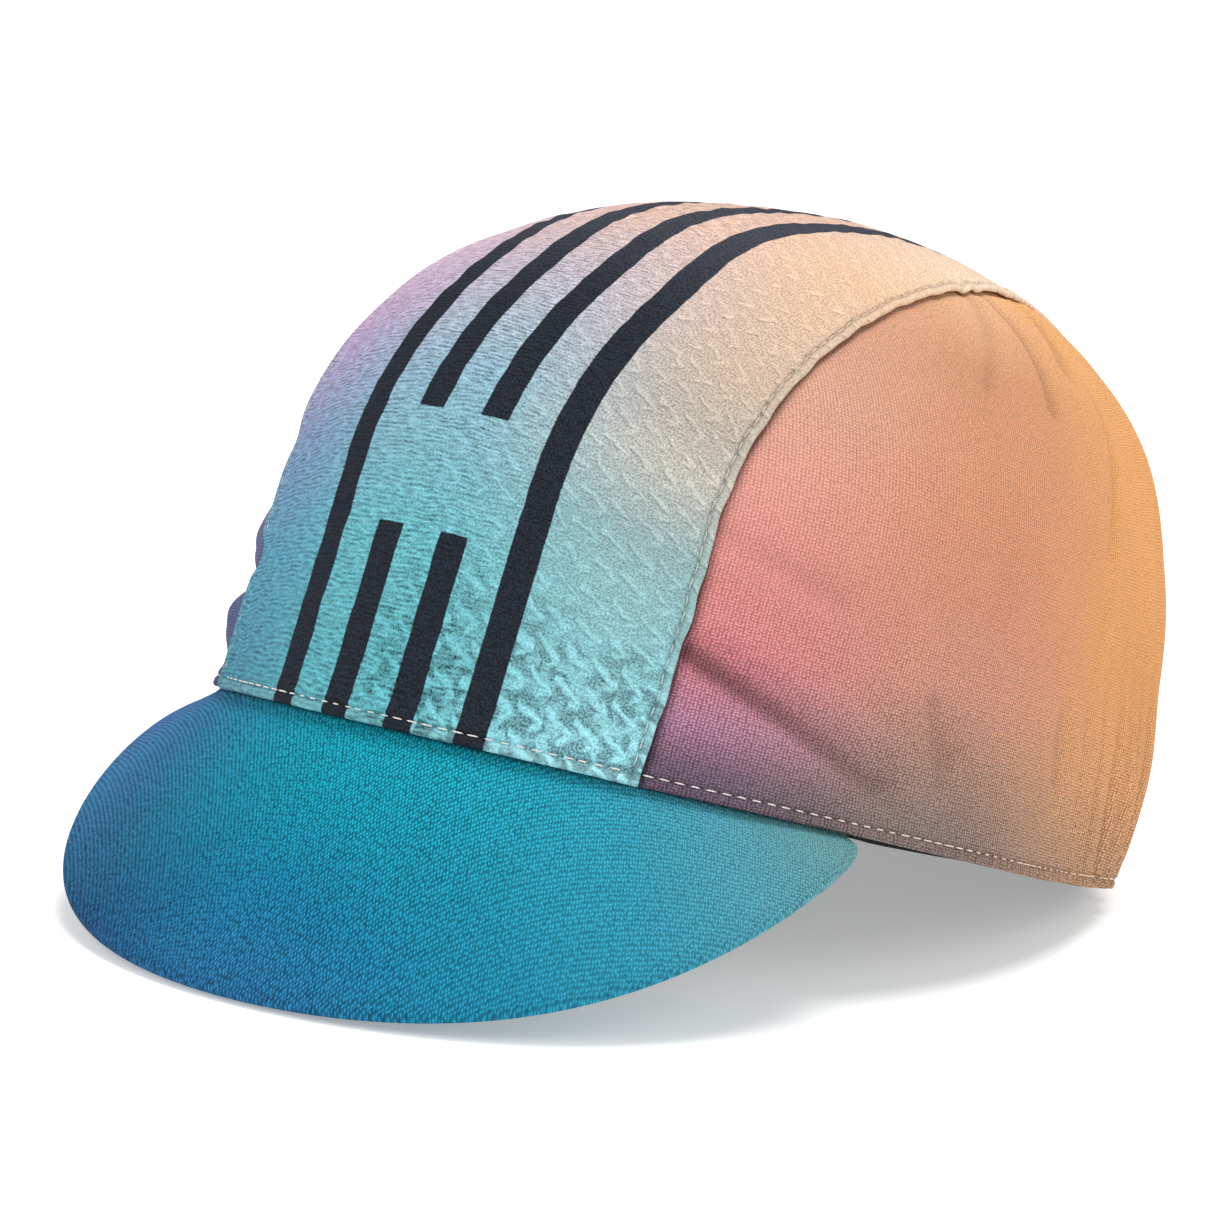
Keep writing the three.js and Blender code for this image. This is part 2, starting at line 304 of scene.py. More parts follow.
def cross_rim(direction_at, lowest, highest, shape, above=0.0):
    """The angle at which a curve of directions crosses the rim, or a height above it."""
    low = np.full(shape, lowest * DEGREE)
    high = np.full(shape, highest * DEGREE)
    halvings = 26
    for _ in range(halvings):
        middle = (low + high) / 2
        point = dome_point(direction_at(middle))
        over = point[..., 2] > rim_height(point[..., 1]) + above
        high = np.where(over, middle, high)
        low = np.where(over, low, middle)
    return high


def rim_direction(around, above=0.0):
    """The direction of a point of the rim, or above it, by the angle around from the front."""
    around, above = np.broadcast_arrays(np.asarray(around, float), above)
    up = cross_rim(lambda angle: round_direction(around, angle), -80, 30, around.shape, above)
    return round_direction(around, up)


def aside_angle(along, length):
    """The sideways angle that lies a length of cloth aside of the middle line."""
    step = 2 * DEGREE
    angles = np.arange(0, 88 * DEGREE, step)
    points = dome_point(strip_direction(along[..., None], angles))
    gone = np.linalg.norm(np.diff(points, axis=-2), axis=-1)
    walked = np.cumsum(gone, axis=-1)
    index = np.minimum(np.sum(walked < length[..., None], axis=-1), gone.shape[-1] - 1)[..., None]
    passed = np.take_along_axis(walked, index, -1) - np.take_along_axis(gone, index, -1)
    rest = (length[..., None] - passed) / np.take_along_axis(gone, index, -1)
    return ((index + rest) * step)[..., 0]


def panel_direction(along, aside):
    """The direction of a point of the centre panel: along 0 to 1, aside in millimetres."""
    along, aside = np.broadcast_arrays(np.asarray(along, float), np.asarray(aside, float))
    angle = np.abs(aside) / crown.half_width
    for _ in range(3):
        across = angle
        front = cross_rim(lambda turn: strip_direction(turn, across), -80, 10, angle.shape)
        back = cross_rim(lambda turn: strip_direction(math.pi - turn, across), -80, 10, angle.shape)
        place = mix(front, math.pi - back, along)
        angle = aside_angle(place, np.abs(aside))
    return strip_direction(place, np.sign(aside) * angle)


def seam_aside(along):
    """How far aside of the middle line the edge of the centre panel lies."""
    return centre_half_width * read_curve(centre_shares, np.asarray(along, float))


def seam_waver(along):
    """The slight waver of a hand-guided seam."""
    return sum(
        row["size"] * np.cos(TURN * row["waves"] * along + row["phase"]) for row in seam_waver_table
    )


dome_top = crown.widest_height + max(crown.front_rise, crown.back_rise)


def folds_at(point, table):
    """How far the folds of a table stand out of the plain dome."""
    wide = np.hypot(point[..., 0], point[..., 1]) * DEGREE
    here = together(around_of(point) * wide, point[..., 2])
    out = np.zeros(wide.shape)
    for fold in table:
        ends = fold["a"], fold["b"]
        start, end = (together(angle * wide, height * dome_top) for angle, height in ends)
        path = end - start
        share = np.clip(np.sum((here - start) * path, -1) / np.sum(path * path, -1), 0, 1)
        away = np.linalg.norm(here - start - path * share[..., None], axis=-1)
        out -= fold["depth"] * bell(away, fold["width"])
    return out


def creases_at(point):
    """The creases and puckers, which fade towards the hem."""
    out = folds_at(point, fold_table)
    return out * mix(fold_left_at_hem, 1, smooth(point[..., 2] / band.height))


def relief_at(point):
    """The creases, and on the wearer's right the sunken place with its two puffs."""
    sunken = folds_at(point, right_table) * mix(fold_left_at_hem, 1, smooth(point[..., 2] / sunken_fade))
    return creases_at(point) + np.where(point[..., 0] < 0, sunken, 0)


def gathered_at(point):
    """How strongly the elastic gathers the cloth, from 0 to 1."""
    drawn = smooth((around_of(point) - gather.start) / (gather.full - gather.start))
    return drawn * smooth(1 - point[..., 2] / gather.reach)


def gathers_at(point):
    """How far the gathers at the back stand out, in folds of uneven width."""
    turn = turn_of(point)
    folds = turn * crown.back_reach / gather.spacing + 0.35 * np.sin(7 * turn) + 0.2 * np.sin(17 * turn)
    wave = 0.7 * np.cos(TURN * folds) + 0.3 * np.cos(TURN * 1.7 * folds + 1)
    return gather.depth * gathered_at(point) * wave


def ripples(first, second, wavelength, count, seed, slant=None):
    """Soft unevenness between -1 and 1, as a sum of waves in seeded directions."""
    random = np.random.default_rng(seed)
    total = np.zeros(np.broadcast(first, second).shape)
    for _ in range(count):
        angle = random.uniform(0, math.pi) if slant is None else slant + random.normal(0, 0.35)
        size = wavelength * random.uniform(0.7, 1.5)
        phase = random.uniform(0, TURN)
        total += np.cos((first * math.cos(angle) + second * math.sin(angle)) * TURN / size + phase)
    return total / math.sqrt(2 * count)


def edge_roll(gap, roll):
    """How far a turned and topstitched edge stands out, by the distance from the edge."""
    fall = 1.6 * roll.width
    raised = roll.height * (1 - smooth((gap - roll.width) / fall))
    return raised - roll.groove * stitched_line(gap, roll)


def stitched_line(gap, roll):
    """1 on the line where an edge is topstitched, and 0 away from it."""
    return bell(gap - roll.width, stitch.pressed_width)


def rounding(gap, half):
    """The share of a sheet's thickness near its rounded edge."""
    inside = np.clip((gap - 1e-4) / half, 0, 1)
    return np.sqrt(1 - (1 - inside) ** 2)


def hem_gap(point):
    """The distance of a point of the dome from the rim."""
    return np.maximum(0, point[..., 2] - rim_height(point[..., 1]))


def hem_shape(point):
    """The roll of the hem, drawn in a little between its stitches."""
    gap = hem_gap(point)
    drawn = np.cos(TURN * turn_of(point) * side_scale.around / stitch.pitch)
    pucker = hem_pucker.depth * drawn * bell(gap - hem_pucker.place, hem_pucker.width)
    return edge_roll(gap, hem_roll) + pucker


# Distances from an edge at which a sheet has its crowded rows of points.
edge_offsets = np.array(
    [0, 0.02, 0.08, 0.18, 0.35, 0.6, 0.95, 1.3, 1.6, 1.85, 2.1, 2.35, 2.6, 3.0, 3.6, 4.4, 5.4]
)


def crowded(lengths, count):
    """Rows of places along these lengths, crowded at both ends with count places in between."""
    lengths = np.atleast_1d(lengths)[:, None]
    near = edge_offsets * np.minimum(1, lengths / (4 * edge_offsets[-1]))
    first, last = near[:, -1:], lengths - near[:, -1:]
    between = mix(first, last, np.linspace(0, 1, count + 2)[1:-1])
    return np.concatenate([near, between, lengths - near[:, ::-1]], axis=1)


def sheet_faces(base, direction, out, gap, thickness):
    """The two faces of a sheet over the dome, which meet at its rounded edges."""
    normal = dome_normal(direction)
    half = thickness / 2
    kept = half * rounding(gap, half)
    return [base + normal * (out - half + way * kept)[..., None] for way in (1, -1)]


def centre_out(base, along_mm, aside, gap):
    """How far the centre panel's face stands out of the dome."""
    crepe = 0.16 * ripples(aside, along_mm, wavelength=9, count=14, seed=3, slant=math.pi / 2)
    crepe += 0.1 * ripples(aside, along_mm, wavelength=26, count=6, seed=4)
    rolled = np.maximum(hem_shape(base), edge_roll(gap, seam_roll))
    calm = smooth(np.minimum(gap, hem_gap(base)) / cloth.calm_edge)
    return relief_at(base) + gathers_at(base) + rolled + crepe * calm


def side_waves(base):
    """The unevenness of a side panel, with slack cloth towards the back."""
    turn = turn_of(base) * side_scale.around
    uneven = 0.2 * ripples(turn, base[..., 2] * 0.5, wavelength=17, count=12, seed=8)
    loose = slack.depth * smooth((around_of(base) - slack.start) / slack.spread)
    return uneven + loose * ripples(turn, base[..., 2] * 0.12, wavelength=8, count=8, seed=9)


def side_out(base, gap):
    """How far a side panel's face stands out of the dome, tucked in under the seam."""
    tucked = cloth.tuck * (1 - smooth((gap - cloth.under_seam) / cloth.tuck_width))
    return relief_at(base) + gathers_at(base) + hem_shape(base) + side_waves(base) - tucked


def side_painted_shade(base, gap):
    """How much painted shade a side panel gets in its creases and gathers, under its seam edge and on its
    hem stitch line, 0 to 1.
    """
    shaded = mix(1, 0.45, smooth((base[..., 2] - 60) / 40))
    seam = shaded * (1 - smooth((gap - cloth.under_seam - 0.15) / 0.7))
    creased = np.clip((-relief_at(base) - 0.4) / 2.2, 0, 0.75)
    gathered = np.clip(-gathers_at(base) * 0.6, 0, 0.4)
    stitched = 0.35 * stitched_line(hem_gap(base), hem_roll)
    return np.maximum.reduce([seam, creased, gathered, stitched])


def centre_length():
    """The length of cloth along the middle of the centre panel."""
    count = 200
    points = dome_point(panel_direction(np.linspace(0, 1, count), np.zeros(count)))
    return float(np.linalg.norm(np.diff(points, axis=0), axis=1).sum())


def centre_sheet():
    """The centre panel: outer face, inner face, place on the cloth, distance from its edge, painted shade.
    """
    length = centre_length()
    along = crowded(length, panel_grid.rows)[0] / length
    width = 2 * (seam_aside(along) + seam_waver(along))
    places = crowded(width, panel_grid.columns)
    aside = places - width[:, None] / 2
    gap = np.minimum(places, places[:, ::-1])
    row = np.broadcast_to(along[:, None], aside.shape)
    direction = panel_direction(row, aside)
    base = dome_point(direction)
    out = centre_out(base, row * length, aside, gap)
    # Painted shade along the seam's and the hem's stitch lines.
    painted_shade = np.maximum(0.6 * stitched_line(gap, seam_roll), 0.35 * stitched_line(hem_gap(base), hem_roll))
    gap = np.minimum(gap, hem_gap(base))
    faces = sheet_faces(base, direction, out, gap, cloth.thickness)
    return *faces, together(aside, row * length), gap, painted_shade


def side_directions(side):
    """A grid of directions over a side panel, with each point's distance from its seam edge."""
    share = np.linspace(0, 1, panel_grid.seam_points)
    seam = panel_direction(share, side * (seam_aside(share) - cloth.under_seam))
    angles = turn_of(seam)
    hem = rim_direction(mix(angles[0], angles[-1], share))
    hem[[0, -1]] = seam[[0, -1]]
    fine = np.linspace(0, 1, panel_grid.depth_points)
    lines = dome_point(unit(mix(seam[:, None], hem[:, None], fine[:, None])))
    steps = np.linalg.norm(np.diff(lines, axis=1), axis=-1)
    walked = np.pad(np.cumsum(steps, axis=1), ((0, 0), (1, 0)))
    places = crowded(walked[:, -1], panel_grid.columns)
    down = np.stack([np.interp(place, passed, fine) for place, passed in zip(places, walked)])
    ahead = unit(np.gradient(lines[:, 0], axis=0))
    slant = np.linalg.norm(np.cross(ahead, unit(lines[:, 1] - lines[:, 0])), axis=-1)
    return unit(mix(seam[:, None], hem[:, None], down[..., None])), places * slant[:, None]


def side_sheet(side):
    """A side panel, in the same five parts."""
    direction, gap = side_directions(side)
    base = dome_point(direction)
    out = side_out(base, gap)
    painted_shade = side_painted_shade(base, gap)
    gap = np.minimum(gap, hem_gap(base))
    faces = sheet_faces(base, direction, out, gap, cloth.thickness)
    up = np.arcsin(direction[..., 2])
    height = np.where(up > 0, crown.widest_height + side_scale.up * up, base[..., 2])
    around = np.abs(turn_of(direction)) * side_scale.around
    return *faces, together(around, height), gap, painted_shade


def peak_root(share, inset=peak.root_inset, below=clearance):
    """The root of the peak, just under the edge of the crown's wall."""
    direction = rim_direction(peak.half_angle * DEGREE * share)
    base = dome_point(direction)
    root = base + dome_normal(direction) * (creases_at(base) - inset)[..., None]
    return root - [0, 0, below]


def peak_edge(share):
    """The outer edge of the peak, an arc that reaches forward and dips in the middle."""
    corner = peak_root(np.array(1.0))
    turn = share * math.pi / 2
    middle = np.maximum(0, np.cos(turn))
    reach = peak.reach * middle**peak.squareness
    side_dip = peak.side_dip * np.sin(2 * turn) ** 2
    return together(
        corner[0] * np.sin(turn) + peak.flare * np.sin(2 * turn),
        corner[1] - reach,
        corner[2] - peak.fall * reach - peak.dip * middle**2 - side_dip - peak.corner_depth * (1 - middle),
    )


def peak_sheet():
    """The covered peak, in the same five parts."""
    around = peak.end_share * np.sin(np.linspace(-math.pi / 2, math.pi / 2, peak_grid.points))
    root = peak_root(around, peak.hidden_inset, 0.05)
    edge = peak_edge(around)
    length = np.linalg.norm(edge - root, axis=-1)[:, None]
    walk = crowded(length[:, 0], peak_grid.columns)
    out = walk / length
    ends = (peak.end_share - np.abs(around))[:, None] * peak.half_angle * DEGREE * crown.half_width
    gap = np.minimum(length - walk, ends)
    bow = peak.camber * 4 * out * (1 - out) * length / peak.reach
    ahead = unit(np.array([0, -1.0, 1.0]))
    rise = np.array([0, 0, 1]) * (peak.hidden_rise * bell(walk, peak.hidden_width))[..., None]
    top = mix(root[:, None], edge[:, None], out[..., None]) + ahead * bow[..., None]
    normal = unit(np.cross(np.gradient(top, axis=0), np.gradient(top, axis=1)) + [0, 0, 1e-9])
    normal = np.where(normal[..., 2:] > 0, normal, -normal)
    half = peak.thickness / 2
    kept = (half + edge_roll(gap, peak_roll)) * rounding(np.minimum(gap, walk), half)
    faces = [top + rise + normal * (way * kept - half)[..., None] for way in (1, -1)]
    forward = root[:, 1].min() - top[..., 1]
    # Painted shadow on the peak just under the hem.
    painted_shade = 0.2 * (1 - smooth((walk - 1.8) / 1.2))
    return *faces, together(top[..., 0] * 1.05, forward * 1.12), gap, painted_shade


def band_drop(direction):
    """How far the sweatband hangs below the rim: it shows beside the peak only."""
    past = around_of(dome_point(direction)) - peak.half_angle
    beside = smooth((past + 1.5) / 2) * (1 - smooth((past - 2) / 4))
    backed = smooth((past - 2) / 40)
    return band.showing * beside + band.front_drop * (1 - backed) - band.back_tuck * backed


def band_sheet():
    """The sweatband, a closed ring inside the rim, in the same five parts."""
    around = np.linspace(-math.pi, math.pi, band_grid.points, endpoint=False)
    rise = crowded(band.height, band_grid.rows)[0]
    drop = band_drop(rim_direction(around))
    above = -drop[:, None] * (1 - rise / band.height) + rise
    direction = rim_direction(np.broadcast_to(around[:, None], above.shape), above)
    base = dome_point(direction)
    cleared = gather.depth * gathered_at(base) + band.ease
    depth = crown.wall + clearance - np.minimum(0, relief_at(base)) + cleared
    gap = np.broadcast_to(np.minimum(rise, rise[::-1]), above.shape)
    faces = sheet_faces(base, direction, -depth, gap, band.thickness)
    return *faces, together(around[:, None] * side_scale.around, above), gap, 0 * gap


def stood(points):
    """Points of the cap's own frame, stood on the floor and turned into metres."""
    turn = np.array(Matrix.Rotation(stand.tilt, 3, "X"))
    placed = points @ turn.T + [0, stand.forward, stand.up]
    placed[..., 2] = np.maximum(placed[..., 2], 0)
    return placed * MM


def add_mesh(name, points, faces):
    """A smooth piece of these points and faces, in the part's one body."""
    mesh = bpy.data.meshes.new(name)
    mesh.from_pydata(stood(points).tolist(), [], faces)
    mesh.polygons.foreach_set("use_smooth", [True] * len(mesh.polygons))
    piece = bpy.data.objects.new(name, mesh)
    bpy.context.collection.objects.link(piece)
    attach(piece, "root")
    return piece


def store(piece, label, values, kind="FLOAT", field="value"):
    """Store values at the points of a piece, for its material to read."""
    piece.data.attributes.new(label, kind, "POINT").data.foreach_set(field, np.ravel(values))


def weld(piece):
    """Join the points that meet at an edge."""
    net = bmesh.new()
    net.from_mesh(piece.data)
    bmesh.ops.remove_doubles(net, verts=net.verts, dist=1e-6)
    bmesh.ops.dissolve_degenerate(net, edges=net.edges, dist=1e-7)
    bmesh.ops.recalc_face_normals(net, faces=net.faces)
    net.to_mesh(piece.data)
    net.free()


def make_sheet(name, outer, inner, place, gap, painted_shade, closed=False):
    """A closed sheet of cloth between two grids of points whose outer rows meet.

    Each point keeps its place on the cloth, with 1 on the face inside, its distance from the edge
    and how much painted shade darkens its colour there.
    """
    rows, columns = gap.shape
    number = np.arange(rows * columns).reshape(rows, columns)
    if closed:
        number = np.concatenate([number, number[:1]])
    corners = number[:-1, :-1], number[1:, :-1], number[1:, 1:], number[:-1, 1:]
    outer_faces = together(*corners).reshape(-1, 4)
    inner_faces = outer_faces[:, ::-1] + rows * columns
    points = np.concatenate([outer.reshape(-1, 3), inner.reshape(-1, 3)])
    piece = add_mesh(name, points, np.concatenate([outer_faces, inner_faces]).tolist())
    inside = smooth((gap - turned_edge) / 2)
    layers = [np.dstack([place, share]) for share in (0 * inside, inside)]
    store(piece, "place", layers, "FLOAT_VECTOR", "vector")
    store(piece, "edge", [gap, gap])
    # Painted shade, by which the materials darken the colour.
    store(piece, "painted_shade", [painted_shade, painted_shade])
    weld(piece)
    return piece


def walk_line(points, pitch):
    """Even places along a line, counted in its points: 2.5 lies halfway from point 2 to point 3."""
    steps = np.linalg.norm(np.diff(points, axis=0), axis=1)
    walked = np.concatenate([[0], np.cumsum(steps)])
    places = np.arange(pitch / 2, walked[-1], pitch)
    return np.interp(places, walked, np.arange(len(points)))


def stitch_threads(centre, ahead, outwards, random):
    """The points of each stitch, in rings along a short bowed thread."""
    sideways = unit(np.cross(ahead, outwards) + random.normal(0, unevenness.slant, ahead.shape))
    length = stitch.length / 2 * random.uniform(unevenness.shortest, unevenness.longest, len(centre))
    along = np.linspace(-1, 1, stitch.rings)
    turn = np.linspace(0, TURN, stitch.sides, endpoint=False)
    thick = stitch.radius * np.sqrt(np.clip(1 - along**4, 0.02, 1))
    lift = stitch.radius * (1.1 - 1.5 * along**2)
    return (
        centre[:, None, None]
        + ahead[:, None, None] * (along[:, None] * length[:, None, None])[..., None]
        + outwards[:, None, None] * (lift[:, None] + thick[:, None] * np.sin(turn))[None, ..., None]
        + sideways[:, None, None] * (thick[:, None] * np.cos(turn))[None, ..., None]
    )


def make_stitches(name, line, normals, places, seed):
    """A row of stitches along a line that lies on the cloth."""
    at = walk_line(line, stitch.pitch)
    index = np.minimum(at.astype(int), len(line) - 2)
    share = (at - index)[:, None]
    centre, outwards, place = (mix(row[index], row[index + 1], share) for row in (line, normals, places))
    ahead = unit(line[index + 1] - line[index])
    points = stitch_threads(centre, ahead, unit(outwards), np.random.default_rng(seed))
    count, rings, sides = points.shape[:3]
    number = np.arange(count * rings * sides).reshape(count, rings, sides)
    beside = np.roll(number, -1, axis=2)
    walls = together(number[:, :-1], beside[:, :-1], beside[:, 1:], number[:, 1:]).reshape(-1, 4)
    caps = np.concatenate([number[:, 0, ::-1], number[:, -1]])
    row = add_mesh(name, points.reshape(-1, 3), walls.tolist() + caps.tolist())
    place = np.repeat(np.pad(place, ((0, 0), (0, 1))), rings * sides, 0)
    store(row, "place", place, "FLOAT_VECTOR", "vector")
    return row


def hem_stitches():
    """The topstitching all around the hem."""
    around = np.linspace(-math.pi, math.pi, 900)
    direction = rim_direction(around, hem_roll.width)
    base = dome_point(direction)
    normal = dome_normal(direction)
    turn = around_of(base)
    beside = smooth((turn - 34) / 3) * (1 - smooth((turn - 150) / 3))
    out = relief_at(base) + gathers_at(base) + hem_shape(base) + side_waves(base) * beside
    places = together(around * side_scale.around, 0.0)
    return make_stitches("hem_stitches", base + normal * out[:, None], normal, places, 11)


def seam_stitches(side, name):
    """The topstitching along one edge of the centre panel."""
    along = np.linspace(0.008, 0.992, 500)
    aside = side * (seam_aside(along) + seam_waver(along) - seam_roll.width)
    direction = panel_direction(along, aside)
    base = dome_point(direction)
    normal = dome_normal(direction)
    gap = np.full(len(along), float(seam_roll.width))
    places = together(aside, along * centre_length())
    out = centre_out(base, places[:, 1], aside, gap)
    return make_stitches(name, base + normal * out[:, None], normal, places, 12 + side)


class Signal:
    """A number inside a material, which each sum extends by one Math node."""

    def __init__(self, socket):
        self.socket = socket
        self.tree = socket.id_data

    def through(self, operation, *others):
        """The result of a Math node that starts from this number."""
        inputs = dict(enumerate((self, *others)))
        return Signal(add_node(self.tree, "Math", inputs, operation=operation)[0])

    def __add__(self, other):
        return self.through("ADD", other)

    def __sub__(self, other):
        return self.through("SUBTRACT", other)

    def __mul__(self, other):
        return self.through("MULTIPLY", other)

    def wave(self, length):
        """A cosine wave of this length."""
        return (self * (TURN / length)).through("COSINE")

    def between(self, low, high):
        """0 below low, 1 above high, and smooth in between."""
        inputs = {"Value": self, "From Min": low, "From Max": high}
        outputs = add_node(self.tree, "MapRange", inputs, interpolation_type="SMOOTHSTEP")
        return Signal(outputs["Result"])

    def fading(self, low, high):
        """1 below low, 0 above high, and smooth in between."""
        return (self * -1).between(-high, -low)


def plug(value, slot):
    """Feed a socket with a signal or another socket, or set its number or #rrggbb colour."""
    if isinstance(value, Signal):
        value = value.socket
    if isinstance(value, bpy.types.NodeSocket):
        slot.id_data.links.new(value, slot)
    else:
        slot.default_value = linear(value) if isinstance(value, str) else value


def add_node(tree, kind, inputs, **settings):
    """Add a node with these inputs and settings, and give its outputs."""
    node = tree.nodes.new("ShaderNode" + kind)
    for name, value in settings.items():
        setattr(node, name, value)
    for slot, value in inputs.items():
        plug(value, node.inputs[slot])
    return node.outputs


def linear(colour):
    """A colour given as #rrggbb, as the numbers that Blender mixes."""
    parts = [int(colour[i : i + 2], 16) / 255 for i in (1, 3, 5)]
    return [p / 12.92 if p <= 0.04045 else ((p + 0.055) / 1.055) ** 2.4 for p in parts] + [1]


class Finish:
    """A material under construction, read at a point's place on the cloth."""

    def __init__(self, name, roughness, gloss=0.15):
        self.material = bpy.data.materials.new(name)
        self.material.use_nodes = True
        self.tree = self.material.node_tree
        self.shader = self.tree.nodes["Principled BSDF"]
        self.shader.inputs["Roughness"].default_value = roughness
        self.shader.inputs["Specular IOR Level"].default_value = gloss
        self.place = self.node("Attribute", {}, attribute_name="place")["Vector"]
        split = self.node("SeparateXYZ", {0: self.place})
        self.across, self.along, self.inside = (Signal(socket) for socket in split)
        self.edge = self.stored("edge")
        self.painted_shade = self.stored("painted_shade")

    def node(self, kind, inputs, **settings):
        """The outputs of a new node."""
        return add_node(self.tree, kind, inputs, **settings)

    def stored(self, label):
        """A number that the cloth keeps at each point."""
        return Signal(self.node("Attribute", {}, attribute_name=label)["Fac"])

    def object_place(self):
        """The place in the piece's own frame, in metres."""
        return self.node("TexCoord", {})["Object"]

    def mapped(self, scale, turn=0.0, shift=(0, 0, 0)):
        """The place on the cloth, scaled, then turned by degrees and shifted."""
        rotation = (0, 0, turn * DEGREE)
        inputs = {"Vector": self.place, "Location": shift, "Rotation": rotation, "Scale": (*scale, 1)}
        return self.node("Mapping", inputs)["Vector"]

    def noise(self, scale, detail=2.0, stretch=(1, 1), seed=0.0):
        """Soft noise between about 0 and 1, with its features about 1 / scale mm wide."""
        scales = (scale * stretch[0], scale * stretch[1])
        place = self.mapped(scales, shift=(seed * 7.3, seed * 3.1, seed))
        return Signal(self.node("TexNoise", {"Vector": place, "Scale": 1, "Detail": detail})[0])

    def drift(self, scale, size, seed):
        """A soft wander of up to about half this size either way."""
        return (self.noise(scale, seed=seed) - 0.5) * size

    def cells(self, size, turn):
        """A net of cells of this size in millimetres: the distance in each, and each one's own shade."""
        place = self.mapped((1 / size[0], 1 / size[1]), turn)
        inputs = {"Vector": place, "Scale": 1, "Randomness": 0.4}
        outputs = self.node("TexVoronoi", inputs, voronoi_dimensions="2D")
        return Signal(outputs["Distance"]), Signal(outputs["Color"])

    def ramp(self, signal, stops):
        """A colour read from (millimetre, colour) stops."""
        first, last = stops[0][0], stops[-1][0]
        output = self.node("ValToRGB", {0: (signal - first) * (1 / (last - first))})[0]
        elements = output.node.color_ramp.elements
        while len(elements) < len(stops):
            elements.new(0.5)
        for element, (place, colour) in zip(elements, stops):
            element.position = (place - first) / (last - first)
            element.color = linear(colour)
        return output

    def blend(self, share, first, second):
        """A mix of two colours."""
        return self.node("Mix", {0: share, 6: first, 7: second}, data_type="RGBA")[2]

    def shade(self, colour, brightness):
        """A colour made lighter or darker."""
        return self.node("VectorMath", {0: colour, "Scale": brightness}, operation="SCALE")[0]

    def done(self, colour, relief):
        """The finished material, with its colour and its relief in millimetres."""
        bump = self.node("Bump", {"Strength": 1, "Distance": MM, "Height": relief})
        plug(bump["Normal"], self.shader.inputs["Normal"])
        plug(colour, self.shader.inputs["Base Color"])
        return self.material


# The printed gradients: colours at places along three lines of each cloth, in millimetres.
# Left and right on the prints are as seen from the front.
centre_left = [
    (0, "#498699"), (26, "#5690a8"), (48, "#758ead"),
    (80, "#b59dbc"), (120, "#d6bcc8"), (330, "#dcb8a0"),
]
centre_middle = [
    (0, "#56a1aa"), (30, "#62a9b2"), (62, "#84a6b6"),
    (90, "#b4acb6"), (120, "#d6b6a8"), (330, "#dcb090"),
]
# The lighter stop at 180 mm is a painted highlight on the top of the crown, over the peach print.
centre_right = [
    (0, "#8ac6d0"), (20, "#80b4ba"), (42, "#8aa5a6"),
    (58, "#b2aea4"), (67, "#aaa296"), (80, "#bba795"),
    (130, "#dcb797"), (180, "#e6ccb2"), (330, "#dcb48c"),
]
side_front = [
    (3, "#614f60"), (12, "#9e7086"), (26, "#bc7276"),
    (45, "#cb867e"), (70, "#c59481"), (130, "#d2a07e"),
]
side_middle = [
    (3, "#776864"), (14, "#907467"), (30, "#b88271"),
    (55, "#bd8365"), (90, "#bd8867"), (130, "#ecbd96"),
]
side_back = [(3, "#a38065"), (20, "#be8b62"), (45, "#c88e5a"), (80, "#d29660"), (130, "#dea872")]
peak_left = [(-40, "#406a9c"), (-18, "#336c94"), (7, "#235578"), (18, "#243a67"), (60, "#243460")]
# Its lightest stops, up to 0 mm, are painted light near the root, lifting the shade under the hem.
peak_middle = [
    (-40, "#0d9ab0"), (0, "#128c9f"), (10, "#107e95"),
    (19, "#146c8e"), (27, "#22608a"), (60, "#225880"),
]
peak_right = [
    (-50, "#5b8b8f"), (-30, "#468897"), (-11, "#2d839a"),
    (-4, "#287e97"), (8, "#1f7492"), (60, "#186a8c"),
]
far_front = [(3, "#465272"), (20, "#566084"), (45, "#605f7a"), (70, "#9d8094"), (130, "#cf9a88")]
far_middle = [(3, "#7a6874"), (30, "#98707c"), (60, "#b47c72"), (130, "#cf9468")]
stripe_colour = "#1e232c"
# Painted sheen: the stripes' ink turns greyer towards the top of the crown.
stripe_painted_sheen_colour = "#3c3f49"
seam_colour = "#b2b8aa"
underside_print = "#b9bdbd"

# The printed stripes, the middle two with a bare stretch, and the raised strokes of the centre knit.
stripe = Sizes(spacing=14.36, half=2.95, soft=0.12, bare_start=31.7, bare_end=53.6, bare_soft=0.3)
stroke = Sizes(wide=5.6, tall=5.5, fall=2.6, hook=2.8)


def printed(finish, ramps, first, second):
    """Three gradients along the cloth, blended across it between these two pairs of places."""
    left, middle, right = (finish.ramp(finish.along, stops) for stops in ramps)
    colour = finish.blend(finish.across.between(*first), left, middle)
    return finish.blend(finish.across.between(*second), colour, right)


def knit(finish, colour, size, turn, contrast, wales=0.0):
    """A fine knit: its colour with pale nubs on darker ground and upright wales, darkened by painted
    shade, and its relief.
    """
    distance, shade = finish.cells(size, turn)
    nubs = distance.fading(0.02, 0.5)
    patches = finish.noise(0.05, 3.0, seed=2.0) - 0.5
    grain = finish.noise(2.0, seed=3.0).between(0.3, 0.7) - 0.5
    ticks = finish.across.wave(0.9) * finish.edge.fading(1.6, 2.0)
    spotted = nubs + (shade - 0.5) * 0.25 - 0.27 + grain * 0.2
    dotted = spotted * contrast + finish.across.wave(size[0]) * wales
    # The stored painted shade darkens the knit in creases, gathers, under seams and on stitch lines.
    brightness = (dotted + patches * 0.15 + ticks * 0.1 + 1) * (finish.painted_shade * -0.65 + 1)
    return finish.shade(colour, brightness), nubs * 0.1 + grain * 0.04 + ticks * 0.1


